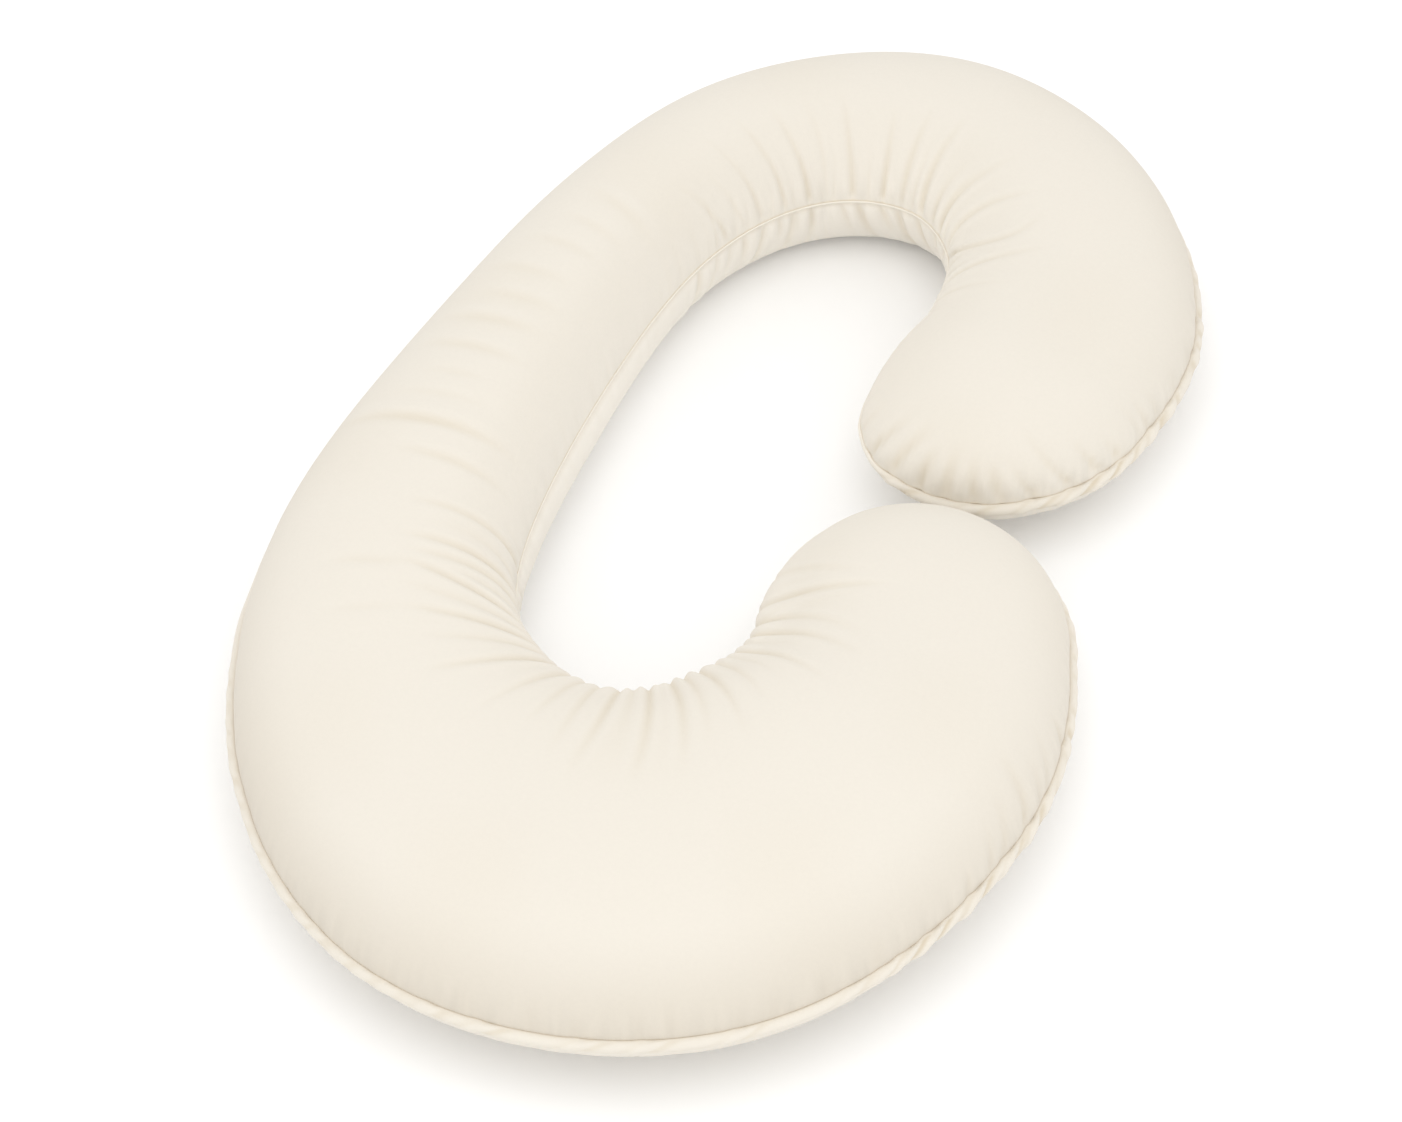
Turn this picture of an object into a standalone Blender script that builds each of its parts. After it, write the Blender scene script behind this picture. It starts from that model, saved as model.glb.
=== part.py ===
"""C-shaped body pillow: one filled cotton cover lying on its back, with a soft roll sewn round its seam.

The plan is read along the pillow from the head end, over the top, down the back and round to the knee end.
Each section stands upright between a point of the outer seam and a point of the inner seam.
Lengths are in metres, +Z is up, and the pillow lies on Z = 0.
"""

from collections import namedtuple

import bpy
import numpy as np

Section = namedtuple("Section", "outer_x outer_y inner_x inner_y seam_height")
Gather = namedtuple("Gather", "first_section last_section folds depth upper_reach")
Puff = namedtuple("Puff", "seam_length amount")

SECTIONS = (
    Section(0.355, 0.240, 0.093, 0.335, 0.090),
    Section(0.371, 0.420, 0.090, 0.424, 0.092),
    Section(0.295, 0.582, 0.073, 0.462, 0.096),
    Section(0.059, 0.712, 0.020, 0.500, 0.098),
    Section(-0.202, 0.608, -0.078, 0.475, 0.100),
    Section(-0.321, 0.405, -0.155, 0.355, 0.105),
    Section(-0.373, 0.198, -0.185, 0.173, 0.109),
    Section(-0.407, -0.002, -0.190, -0.015, 0.110),
    Section(-0.423, -0.220, -0.168, -0.185, 0.108),
    Section(-0.350, -0.480, -0.108, -0.268, 0.104),
    Section(-0.121, -0.690, -0.052, -0.292, 0.100),
    Section(0.240, -0.637, 0.012, -0.286, 0.102),
    Section(0.410, -0.364, 0.068, -0.242, 0.105),
    Section(0.424, -0.202, 0.090, -0.205, 0.100),
    Section(0.387, -0.052, 0.095, -0.165, 0.097),
)

# The rounded ends: how far each runs past its last section, and how square its outline is.
HEAD_END_LENGTH = 0.188
KNEE_END_LENGTH = 0.180
HEAD_END_SQUARENESS = 2.1
KNEE_END_SQUARENESS = 2.0
END_STEPS = 19

# The section: crown above the seam, fullness above and below it, and the part pressed flat by the floor.
CROWN_TO_SEAM = 2.0
UPPER_FULLNESS = 2.15
LOWER_FULLNESS_OUTER = 1.85
LOWER_FULLNESS_INNER = 2.10
PRESSED_SHARE = 0.10
UPPER_DEGREES = (0.0, 13.0, 27.0, 41.0, 54.0, 66.0, 76.0, 84.0, 90.0)
LOWER_SHARES = (0.17, 0.35, 0.55, 0.76, 1.0)

# The soft roll in the seam: its radius on the outside and along the inner curve, and its seat.
ROLL_RADIUS_OUTER = 0.0065
ROLL_RADIUS_INNER = 0.0020
ROLL_TAPER_LENGTH = 0.15
ROLL_CLEARANCE = 0.0003
ROLL_SIDES = 10
ROLL_ROPING = 0.10
ROLL_ROPING_STEADY = 0.6
SEAT_DEGREES = (108.0, 144.0, 180.0, 216.0, 252.0)

# Gathers where the cover is eased into the inner curve, between two sections.
GATHERS = (
    Gather(1, 5, 15, 0.0034, 0.150),
    Gather(8, 13, 20, 0.0042, 0.200),
)
FOLD_REACH_LOWER = 0.060
FOLD_RISE_LENGTH = 0.012
CREST_SHARE = 0.45
FOLD_UNEVENNESS = 0.35
FOLD_TURN = 2.4
FOLD_EASE = 0.5

# How far the gathered cloth swells out over the inner seam, by seam length from the head end's outer side.
PUFFS = (
    Puff(3.860, 0.000),
    Puff(3.930, 0.004),
    Puff(3.990, 0.011),
    Puff(4.050, 0.009),
    Puff(4.150, 0.002),
    Puff(4.250, 0.000),
)
PUFF_HEIGHT = 0.034
PUFF_SPAN = 0.028

PLAIN_STEP = 0.028
FINE_SAMPLES = 2001

COVER_COLOUR = (0.88, 0.82, 0.72, 1.0)
ROLL_COLOUR = (0.90, 0.85, 0.75, 1.0)
COTTON_ROUGHNESS = 0.9


def natural_spline(knots, values, at):
    """Rows read at `at` from the natural cubic spline through the rows of `values`."""
    count = len(knots)
    span = np.diff(knots)
    matrix = np.eye(count)
    slopes = np.diff(values, axis=0) / span[:, None]
    right = np.zeros_like(values)
    right[1:-1] = 6.0 * np.diff(slopes, axis=0)
    inside = np.arange(1, count - 1)
    matrix[inside, inside - 1] = span[:-1]
    matrix[inside, inside] = 2.0 * (span[:-1] + span[1:])
    matrix[inside, inside + 1] = span[1:]
    bend = np.linalg.solve(matrix, right)
    left = np.clip(np.searchsorted(knots, at, side="right") - 1, 0, count - 2)
    width = span[left][:, None]
    before = (knots[left + 1] - at)[:, None] / width
    after = (at - knots[left])[:, None] / width
    straight = before * values[left] + after * values[left + 1]
    curve = (before**3 - before) * bend[left] + (after**3 - after) * bend[left + 1]
    return straight + curve * width**2 / 6.0


def running_length(points):
    """Length along a row of points, from its first."""
    steps = np.linalg.norm(np.diff(points, axis=0), axis=1)
    return np.concatenate([[0.0], np.cumsum(steps)])


def section_knots():
    """Place of each section along the middle of the pillow, from 0 at the head end to 1 at the knee end."""
    table = np.array(SECTIONS)
    middle = 0.5 * (table[:, 0:2] + table[:, 2:4])
    length = running_length(middle)
    return length / length[-1], length[-1]


def stations():
    """Places of the sections along the pillow, with each one's fold depth (below 0 on a crest) and reach."""
    knots, total = section_knots()
    fine = np.linspace(0.0, 1.0, FINE_SAMPLES)
    inner_length = running_length(natural_spline(knots, np.array(SECTIONS), fine)[:, 2:4])
    places = []
    folds = []
    reaches = []
    reached = 0.0
    for gather in GATHERS:
        first, last = knots[gather.first_section], knots[gather.last_section]
        plain = int(np.ceil((first - reached) * total / PLAIN_STEP))
        places.append(np.linspace(reached, first, plain, endpoint=False))
        folds.append(np.zeros(plain))
        reaches.append(np.full(plain, gather.upper_reach))
        ends = np.interp([first, last], fine, inner_length)
        spread = np.linspace(ends[0], ends[1], 2 * gather.folds, endpoint=False)
        number = np.arange(2 * gather.folds)
        ease = np.sin(np.pi * (number + 0.5) / len(number)) ** FOLD_EASE
        uneven = 1.0 + FOLD_UNEVENNESS * np.sin(FOLD_TURN * number)
        depth = gather.depth * ease * uneven
        places.append(np.interp(spread, inner_length, fine))
        folds.append(np.where(number % 2 == 1, depth, -CREST_SHARE * depth))
        reaches.append(np.full(len(number), gather.upper_reach))
        reached = last
    plain = int(np.ceil((1.0 - reached) * total / PLAIN_STEP))
    places.append(np.linspace(reached, 1.0, plain + 1))
    folds.append(np.zeros(plain + 1))
    reaches.append(np.full(plain + 1, GATHERS[-1].upper_reach))
    return np.concatenate(places), np.concatenate(folds), np.concatenate(reaches)


def rounded_end(centre, half, direction, length, squareness):
    """Points round one end of the seam, from the outer side to the inner side."""
    turn = np.linspace(0.0, np.pi, END_STEPS + 1)[1:-1]
    power = 2.0 / squareness
    across = np.sign(np.cos(turn)) * np.abs(np.cos(turn)) ** power
    along = np.sin(turn) ** power
    return centre + across[:, None] * half + (along * length)[:, None] * direction


class SeamLine:
    """The closed seam in plan, anticlockwise, with its section's centre, height and fold at each point."""

    def __init__(self):
        places, folds, reaches = stations()
        knots, _ = section_knots()
        rails = natural_spline(knots, np.array(SECTIONS), places)
        outer, inner, height = rails[:, 0:2], rails[:, 2:4], rails[:, 4]
        centre = 0.5 * (outer + inner)
        half = 0.5 * (outer - inner)
        forward = np.stack([-half[:, 1], half[:, 0]], axis=1)
        forward /= np.linalg.norm(forward, axis=1)[:, None]
        knee = rounded_end(centre[-1], half[-1], forward[-1], KNEE_END_LENGTH, KNEE_END_SQUARENESS)
        head = rounded_end(centre[0], half[0], -forward[0], HEAD_END_LENGTH, HEAD_END_SQUARENESS)[::-1]
        count, turn = len(places), len(knee)
        there = np.arange(count)
        order = np.concatenate([there, np.full(turn, count - 1), there[::-1], np.zeros(turn, int)])
        end_share = np.arange(1, turn + 1) / (turn + 1)
        self.ridge = centre
        self.ridge_height = height
        self.ridge_of = order
        self.points = np.concatenate([outer, knee, inner[::-1], head])
        self.height = height[order]
        self.on_inner = np.zeros(len(order), bool)
        self.on_inner[count + turn : 2 * count + turn] = True
        self.inner_share = np.concatenate([np.zeros(count), end_share, np.ones(count), end_share[::-1]])
        self.fold = np.where(self.on_inner, folds[order], 0.0)
        self.fold_reach = reaches[order]
        self.along = running_length(self.points)
        tangent = np.roll(self.points, -1, axis=0) - np.roll(self.points, 1, axis=0)
        tangent /= np.linalg.norm(tangent, axis=1)[:, None]
        self.outward = np.stack([tangent[:, 1], -tangent[:, 0]], axis=1)
        self.roll_radius = self.worked_roll_radius()

    def worked_roll_radius(self):
        """Radius of the roll at each point: full outside and round the ends, thin along the inner curve."""
        inner = self.along[self.on_inner]
        from_end = np.minimum(inner - inner[0], inner[-1] - inner)
        share = np.clip(from_end / ROLL_TAPER_LENGTH, 0.0, 1.0)
        radius = np.full(len(self.along), ROLL_RADIUS_OUTER)
        radius[self.on_inner] += (ROLL_RADIUS_INNER - ROLL_RADIUS_OUTER) * share**2 * (3.0 - 2.0 * share)
        return radius

    def roll_centre(self):
        """Plan position and height of the middle of the roll, set so that its seat's top edge is the seam."""
        seat = self.roll_radius + ROLL_CLEARANCE
        lean = np.radians(SEAT_DEGREES[0])
        plan = self.points - self.outward * (seat * np.cos(lean))[:, None]
        return plan, self.height - seat * np.sin(lean)

    def round_the_roll(self, radius, degrees):
        """Points at one angle round the roll, 0 facing outward and 90 facing up."""
        plan, height = self.roll_centre()
        turn = np.radians(degrees)
        out = plan + self.outward * (radius * np.cos(turn))[:, None]
        return np.column_stack([out, height + radius * np.sin(turn)])

    def away_from(self, row):
        """Straight distance of each point of a row from its seam point."""
        return np.linalg.norm(row - np.column_stack([self.points, self.height]), axis=1)


def upper_row(seam, degrees):
    """One row of the upper panel, from the crown at 0 degrees to the seam at 90."""
    turn = np.radians(degrees)
    across = np.sin(turn) ** (2.0 / UPPER_FULLNESS)
    rise = np.cos(turn) ** (2.0 / UPPER_FULLNESS)
    centre = seam.ridge[seam.ridge_of]
    plan = centre + (seam.points - centre) * across
    return np.column_stack([plan, seam.height * (1.0 + (CROWN_TO_SEAM - 1.0) * rise)])


def lower_row(seam, edge, share):
    """One row of the lower panel, from the roll's seat at share 0 to the edge of the flat at share 1."""
    fullness = LOWER_FULLNESS_OUTER + (LOWER_FULLNESS_INNER - LOWER_FULLNESS_OUTER) * seam.inner_share
    flat_turn = np.arcsin((1.0 / (1.0 + PRESSED_SHARE)) ** (fullness / 2.0))
    turn = share * flat_turn
    across = np.cos(turn) ** (2.0 / fullness)
    fall = (1.0 + PRESSED_SHARE) * np.sin(turn) ** (2.0 / fullness)
    centre = seam.ridge[seam.ridge_of]
    plan = centre + (seam.points - centre) * across[:, None]
    height = edge[:, 2] * (1.0 - fall)
    if share == 1.0:
        height = np.zeros_like(height)
    return np.column_stack([plan, height])


def folded(seam, row, reach):
    """The row pressed in at the folds and raised between them, most a little way from the seam."""
    away = seam.away_from(row)
    rise = np.clip(away / FOLD_RISE_LENGTH, 0.0, 1.0)
    fade = (1.0 - np.clip(away / reach, 0.0, 1.0) ** 2) ** 2
    centre = np.column_stack([seam.ridge[seam.ridge_of], seam.height])
    inward = centre - row
    inward /= np.linalg.norm(inward, axis=1)[:, None]
    return row + inward * (seam.fold * rise * fade)[:, None]


def puffed(seam, row):
    """The row swollen outward over the inner seam where the cover is gathered most."""
    table = np.array(PUFFS)
    amount = np.interp(seam.along, table[:, 0], table[:, 1])
    away = seam.away_from(row)
    swell = np.exp(-(((away - PUFF_HEIGHT) / PUFF_SPAN) ** 2)) * np.clip(away / FOLD_RISE_LENGTH, 0.0, 1.0)
    row = row.copy()
    row[:, 0:2] += seam.outward * (amount * swell)[:, None]
    return row


def pillow_rows(seam):
    """Rows of points from just off the crown line to the edge of the flat, with one for each seam point."""
    seat = seam.roll_radius + ROLL_CLEARANCE
    upper = [puffed(seam, upper_row(seam, degrees)) for degrees in UPPER_DEGREES[1:-1]]
    upper = [folded(seam, row, seam.fold_reach) for row in upper]
    groove = [seam.round_the_roll(seat, degrees) for degrees in SEAT_DEGREES]
    lower = [lower_row(seam, groove[-1], share) for share in LOWER_SHARES]
    lower = [folded(seam, row, FOLD_REACH_LOWER) for row in lower[:-1]] + lower[-1:]
    return np.array(upper + groove + lower)


def pillow_mesh(seam):
    """Points and faces of the filled cover, closed along its crown line and along the middle of its flat."""
    rows = pillow_rows(seam)
    depth, ring = rows.shape[0], rows.shape[1]
    crown = np.column_stack([seam.ridge, seam.ridge_height * CROWN_TO_SEAM])
    floor = np.column_stack([seam.ridge, np.zeros(len(seam.ridge))])
    points = np.concatenate([rows.reshape(-1, 3), crown, floor])
    first_crown = depth * ring
    first_floor = first_crown + len(crown)
    faces = []
    for here in range(ring):
        ahead = (here + 1) % ring
        for row in range(depth - 1):
            upper, lower = row * ring, (row + 1) * ring
            faces.append((upper + here, lower + here, lower + ahead, upper + ahead))
        last = (depth - 1) * ring
        ridge, next_ridge = seam.ridge_of[here], seam.ridge_of[ahead]
        faces.append(without_repeats(first_crown + ridge, here, ahead, first_crown + next_ridge))
        below, next_below = first_floor + ridge, first_floor + next_ridge
        faces.append(without_repeats(last + here, below, next_below, last + ahead))
    return points, faces


def without_repeats(*corners):
    """A face's corners, with one dropped where two are the same point."""
    return tuple(dict.fromkeys(int(corner) for corner in corners))


def roll_mesh(seam):
    """Points and faces of the soft roll, a closed ring with its outer side slightly roped."""
    ring = len(seam.points)
    number = np.arange(ring)
    uneven = ROLL_ROPING_STEADY + (1.0 - ROLL_ROPING_STEADY) * np.sin(FOLD_TURN * number)
    roped = seam.roll_radius * (1.0 + ROLL_ROPING * np.cos(np.pi * number) * uneven)
    rows = []
    for side in range(ROLL_SIDES):
        degrees = side * 360.0 / ROLL_SIDES
        in_seat = SEAT_DEGREES[0] <= degrees <= SEAT_DEGREES[-1]
        rows.append(seam.round_the_roll(seam.roll_radius if in_seat else roped, degrees))
    faces = []
    for side in range(ROLL_SIDES):
        upper = ((side + 1) % ROLL_SIDES) * ring
        lower = side * ring
        for here in range(ring):
            ahead = (here + 1) % ring
            faces.append((upper + here, lower + here, lower + ahead, upper + ahead))
    return np.concatenate(rows), faces


def cotton(name, colour):
    """A matt cotton material."""
    material = bpy.data.materials.new(name)
    material.use_nodes = True
    shader = material.node_tree.nodes["Principled BSDF"]
    shader.inputs["Base Color"].default_value = colour
    shader.inputs["Roughness"].default_value = COTTON_ROUGHNESS
    return material


def add_object(name, points, faces, material, collection):
    """A named mesh object with smooth shading in the collection."""
    mesh = bpy.data.meshes.new(name)
    mesh.from_pydata(points.tolist(), [], faces)
    mesh.materials.append(material)
    mesh.shade_smooth()
    mesh.update()
    collection.objects.link(bpy.data.objects.new(name, mesh))


def main():
    """Clears the scene and adds the pillow and its roll, centred over the origin."""
    for old in list(bpy.data.objects):
        bpy.data.objects.remove(old, do_unlink=True)
    collection = bpy.data.collections.new("body_pillow")
    bpy.context.scene.collection.children.link(collection)
    seam = SeamLine()
    pillow_points, pillow_faces = pillow_mesh(seam)
    roll_points, roll_faces = roll_mesh(seam)
    shift = 0.5 * (roll_points.min(axis=0) + roll_points.max(axis=0)) * (1.0, 1.0, 0.0)
    cover_cotton = cotton("cover_cotton", COVER_COLOUR)
    roll_cotton = cotton("welt_cotton", ROLL_COLOUR)
    add_object("pillow", pillow_points - shift, pillow_faces, cover_cotton, collection)
    add_object("seam_welt", roll_points - shift, roll_faces, roll_cotton, collection)


main()
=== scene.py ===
"""Dressed C-shaped body pillow: a gathered cotton cover with a soft roll sewn round its seam.

The plan runs along the pillow from the head end, over the top, down the back and round to the knee
end. Lengths are in metres, +Z is up, and the pillow lies on Z = 0.
"""

import logging
from dataclasses import dataclass, field
from enum import Enum, IntEnum
from itertools import starmap
from typing import NamedTuple

import bpy
import numpy as np
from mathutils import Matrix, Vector


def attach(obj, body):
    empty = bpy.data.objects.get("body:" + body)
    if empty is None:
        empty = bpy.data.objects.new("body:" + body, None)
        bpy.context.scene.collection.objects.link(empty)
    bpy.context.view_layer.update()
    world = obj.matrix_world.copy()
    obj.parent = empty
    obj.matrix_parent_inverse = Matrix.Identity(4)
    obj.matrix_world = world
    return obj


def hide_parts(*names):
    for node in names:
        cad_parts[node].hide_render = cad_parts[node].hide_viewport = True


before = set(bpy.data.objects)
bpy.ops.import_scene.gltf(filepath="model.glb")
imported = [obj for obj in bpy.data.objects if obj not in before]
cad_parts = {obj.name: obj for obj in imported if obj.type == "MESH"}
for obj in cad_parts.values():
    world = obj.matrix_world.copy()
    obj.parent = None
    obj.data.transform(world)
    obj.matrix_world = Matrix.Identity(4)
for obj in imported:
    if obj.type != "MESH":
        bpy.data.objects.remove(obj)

LOG = logging.getLogger("body_pillow")
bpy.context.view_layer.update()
IMAGE_WIDTH = 1402
SENSOR_WIDTH = 36.0
WHITE = (1.0, 1.0, 1.0, 1.0)


class Section(NamedTuple):
    """One upright section, between a point of the outer seam and a point of the inner seam."""

    outer_x: float
    outer_y: float
    inner_x: float
    inner_y: float
    seam_height: float


SECTIONS = tuple(starmap(Section, (
    (0.355, 0.240, 0.093, 0.335, 0.090), (0.371, 0.420, 0.090, 0.424, 0.092),
    (0.295, 0.582, 0.073, 0.462, 0.096), (0.059, 0.712, 0.020, 0.500, 0.098),
    (-0.202, 0.608, -0.078, 0.475, 0.100), (-0.321, 0.405, -0.155, 0.355, 0.105),
    (-0.373, 0.198, -0.185, 0.173, 0.109), (-0.407, -0.002, -0.190, -0.015, 0.110),
    (-0.423, -0.220, -0.168, -0.185, 0.108), (-0.350, -0.480, -0.108, -0.268, 0.104),
    (-0.121, -0.690, -0.052, -0.292, 0.100), (0.240, -0.637, 0.012, -0.286, 0.102),
    (0.410, -0.364, 0.068, -0.242, 0.105), (0.424, -0.202, 0.090, -0.205, 0.100),
    (0.387, -0.052, 0.095, -0.165, 0.097),
)))

# Moves the drawn plan so that its box is centred on the origin.
PLAN_SHIFT = np.array([0.00073, 0.00086])


class Crease(NamedTuple):
    """One crease that leaves the seam: where, how far it runs, how deep it is and how it leans.

    Seam length is counted from the head end's outer side. Lean and bow give the seam length gained
    per metre and per metre squared away from the seam.
    """

    seam_length: float
    reach: float
    depth: float
    lean: float
    bow: float = 0.0
    width: float = 0.0033


class Gather(NamedTuple):
    """A run of small uneven creases along the seam."""

    start: float
    end: float
    creases: int
    depth: float
    reach: float
    width: float
    lean: float


class Wrinkle(NamedTuple):
    """One soft wrinkle across the top of the pillow, from one plan point to another."""

    start_x: float
    start_y: float
    end_x: float
    end_y: float
    depth: float
    width: float


class Roping(NamedTuple):
    """A run of slanted ridges on the soft roll."""

    start: float
    end: float
    spacing: float
    slant: float
    height: float


class RollFold(NamedTuple):
    """One larger fold across the soft roll: place, height and how far it slants per radian."""

    seam_length: float
    height: float
    slant: float


class Side(Enum):
    """Which stretch of the closed seam a point lies on."""

    OUTER = 0
    KNEE_END = 1
    INNER = 2
    HEAD_END = 3


class Corner(IntEnum):
    """Columns of HEAD_CORNER after the seam length."""

    ROLL_SHARE = 1
    SEAM_SWAY = 2
    LESS_FULL = 3


class Noise(NamedTuple):
    """Settings of one noise texture."""

    scale: float
    detail: float
    roughness: float


@dataclass(frozen=True)
class CreaseShape:
    """Profile of every crease: a sharp valley, a lower swell on either side and a random tilt.

    Lengths are in metres. The swell's place and width are shares of the crease's own width. The
    tail says how far the crease fades out past its plain reach.
    """

    tuck_reach: float = 0.014
    crown_reach: float = 0.05
    tail: float = 1.20
    widening: float = 3.0
    valley_power: float = 1.35
    swell_share: float = 0.38
    swell_place: float = 2.0
    swell_width: float = 1.1
    most_skew: float = 0.35


@dataclass(frozen=True)
class Unevenness:
    """How far the small creases of a run differ from the run's own numbers.

    Place is a share of their pitch and lean is an addition. The others are factors.
    """

    place: float = 0.28
    lean: float = 0.05
    depth: tuple[float, float] = (0.50, 1.20)
    reach: tuple[float, float] = (0.55, 1.25)
    width: tuple[float, float] = (0.80, 1.30)


CREASE_SHAPE = CreaseShape()
UNEVENNESS = Unevenness()

# How far apart or together the sections may be taken to lie, as a share of their pitch at the seam.
LEAST_SPREAD = 0.05
MOST_SPREAD = 6.0

# The swell on one side of a wrinkle: height as a share of the depth, place and width as shares of
# the wrinkle's width.
WRINKLE_SWELL = 0.45
WRINKLE_SWELL_PLACE = 1.9
WRINKLE_SWELL_WIDTH = 1.2

# The filling's slow unevenness: its height, and for each of its two waves the radians per metre
# along x and y and the start.
FILLING_HEIGHT = 0.0005
FILLING_WAVES = ((19.0, 7.0, 0.4), (-6.0, 15.0, 1.3))

# The seam's slow drift: weight, waves round the whole seam and start of each of its two sines.
DRIFT_WAVES = ((1.0, 37.0, 0.8), (0.7, 61.0, 2.1))

# Depths of creases.
DEEP = 0.0038
FIRM = 0.0030
PLAIN = 0.0027
SOFT = 0.0022
FAINT = 0.0016

KNEE_CREASES = tuple(starmap(Crease, (
    (3.877, 0.135, PLAIN, 0.00), (3.917, 0.200, DEEP, 0.05), (3.936, 0.170, PLAIN, 0.25),
    (3.961, 0.190, DEEP, 0.18), (3.979, 0.090, FAINT, 0.15), (3.996, 0.200, DEEP, 0.13),
    (4.008, 0.165, FAINT, 0.16), (4.023, 0.190, PLAIN, 0.17), (4.043, 0.210, DEEP, 0.14),
    (4.059, 0.185, PLAIN, 0.14), (4.074, 0.215, DEEP, 0.12), (4.084, 0.130, FAINT, 0.14),
    (4.095, 0.240, DEEP, 0.10), (4.108, 0.155, FAINT, 0.09), (4.121, 0.215, DEEP, 0.08),
    (4.141, 0.195, PLAIN, 0.03), (4.156, 0.185, PLAIN, 0.03), (4.170, 0.215, PLAIN, 0.05),
)))
FAN_CREASES = tuple(starmap(Crease, (
    (4.186, 0.230, DEEP, 0.10), (4.198, 0.180, PLAIN, 0.14), (4.209, 0.225, DEEP, 0.19),
    (4.221, 0.220, FAINT, 0.22), (4.236, 0.260, DEEP, 0.25), (4.262, 0.150, FAINT, 0.10),
    (4.286, 0.205, PLAIN, 0.00), (4.303, 0.215, DEEP, -0.02), (4.326, 0.120, FAINT, -0.05),
    (4.352, 0.235, PLAIN, -0.11),
)))
TOP_CREASES = tuple(starmap(Crease, (
    (4.902, 0.095, SOFT, -0.38), (4.928, 0.085, FAINT, -0.30), (4.952, 0.130, SOFT, -0.22),
    (4.983, 0.140, FIRM, -0.15), (5.013, 0.135, FIRM, -0.12), (5.032, 0.130, FAINT, -0.03),
    (5.059, 0.130, FIRM, -0.02), (5.092, 0.115, FIRM, 0.02), (5.102, 0.080, FAINT, -0.05),
    (5.113, 0.130, FIRM, 0.04), (5.138, 0.130, FIRM, 0.01), (5.157, 0.090, FAINT, 0.05),
    (5.175, 0.140, SOFT, 0.02), (5.201, 0.170, SOFT, 0.00), (5.209, 0.180, FIRM, 0.70, -4.5),
    (5.236, 0.120, FAINT, 0.10), (5.288, 0.165, FIRM, -0.32), (5.315, 0.125, SOFT, -0.25),
)))
HEAD_PUCKERS = tuple(starmap(Crease, (
    (5.520, 0.060, DEEP, 0.30, 0.0, 0.0050), (5.553, 0.070, DEEP, 0.30, 0.0, 0.0060),
    (5.590, 0.055, DEEP, 0.10, 0.0, 0.0055), (5.622, 0.065, DEEP, 0.00, 0.0, 0.0060),
    (5.655, 0.060, DEEP, -0.20, 0.0, 0.0060), (5.687, 0.050, PLAIN, -0.35, 0.0, 0.0055),
    (5.722, 0.055, PLAIN, -0.60, 0.0, 0.0055), (5.768, 0.085, PLAIN, -0.75, 0.0, 0.0060),
    (5.807, 0.065, PLAIN, -0.65, 0.0, 0.0055), (5.833, 0.055, FAINT, -0.50, 0.0, 0.0055),
    (0.027, 0.060, FAINT, -0.33, 0.0, 0.0055), (0.041, 0.050, PLAIN, -0.27, 0.0, 0.0055),
    (0.061, 0.045, FAINT, -0.20, 0.0, 0.0055),
)))
KNEE_PUCKERS = tuple(starmap(Crease, (
    (3.056, 0.040, FAINT, 0.20, 0.0, 0.0060), (3.093, 0.055, FAINT, 0.25, 0.0, 0.0060),
    (3.116, 0.065, FAINT, 0.35, 0.0, 0.0060), (3.161, 0.080, PLAIN, 0.25, 0.0, 0.0060),
    (3.199, 0.055, FAINT, 0.15, 0.0, 0.0060), (3.214, 0.070, FAINT, 0.50, 0.0, 0.0060),
    (3.281, 0.050, PLAIN, 0.00, 0.0, 0.0055),
)))
UPPER_CREASES = KNEE_CREASES + FAN_CREASES + TOP_CREASES + HEAD_PUCKERS + KNEE_PUCKERS

UPPER_GATHERS = tuple(starmap(Gather, (
    (4.870, 5.262, 24, 0.0015, 0.085, 0.0030, 0.00),
    (5.262, 5.420, 8, 0.0014, 0.045, 0.0042, -0.10),
    (4.205, 4.360, 9, 0.0012, 0.080, 0.0032, 0.05),
    (3.900, 4.205, 18, 0.0014, 0.095, 0.0032, 0.10),
    (4.360, 4.885, 20, 0.0005, 0.060, 0.0055, 0.00),
)))
LOWER_GATHERS = tuple(starmap(Gather, (
    (5.030, 5.262, 10, 0.0052, 0.110, 0.0046, 0.26),
    (4.840, 5.030, 8, 0.0038, 0.095, 0.0046, 0.05),
    (4.840, 5.262, 24, 0.0014, 0.070, 0.0030, 0.25),
    (4.345, 4.840, 20, 0.0006, 0.060, 0.0060, 0.20),
    (3.955, 4.345, 22, 0.0030, 0.070, 0.0042, 0.20),
)))
OUTER_PUCKERS = tuple(starmap(Gather, (
    (5.480, 5.845, 11, 0.0014, 0.050, 0.0070, 0.00),
    (0.080, 0.260, 5, 0.0010, 0.050, 0.0080, 0.15),
    (3.080, 3.480, 13, 0.0006, 0.045, 0.0080, 0.10),
    (2.050, 3.050, 20, 0.0006, 0.040, 0.0090, 0.00),
    (0.300, 1.900, 26, 0.0006, 0.040, 0.0090, 0.00),
)))

BACK_WRINKLES = tuple(starmap(Wrinkle, (
    (-0.415, -0.104, -0.175, -0.078, 0.0030, 0.0075),
    (-0.330, -0.140, -0.180, -0.122, 0.0022, 0.0065),
    (-0.365, -0.060, -0.215, -0.045, 0.0010, 0.0070),
    (-0.345, -0.024, -0.250, -0.015, 0.0009, 0.0070),
    (-0.370, 0.018, -0.230, 0.026, 0.0015, 0.0070),
    (-0.365, 0.060, -0.230, 0.073, 0.0014, 0.0070),
    (-0.340, 0.103, -0.225, 0.112, 0.0010, 0.0070),
    (-0.350, 0.150, -0.230, 0.152, 0.0009, 0.0075),
    (-0.325, 0.206, -0.210, 0.198, 0.0010, 0.0070),
    (-0.300, 0.250, -0.200, 0.232, 0.0009, 0.0070),
    (-0.285, 0.296, -0.185, 0.268, 0.0009, 0.0070),
    (-0.232, -0.275, -0.345, -0.310, 0.0014, 0.0070),
    (-0.215, -0.330, -0.320, -0.372, 0.0009, 0.0075),
)))
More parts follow.
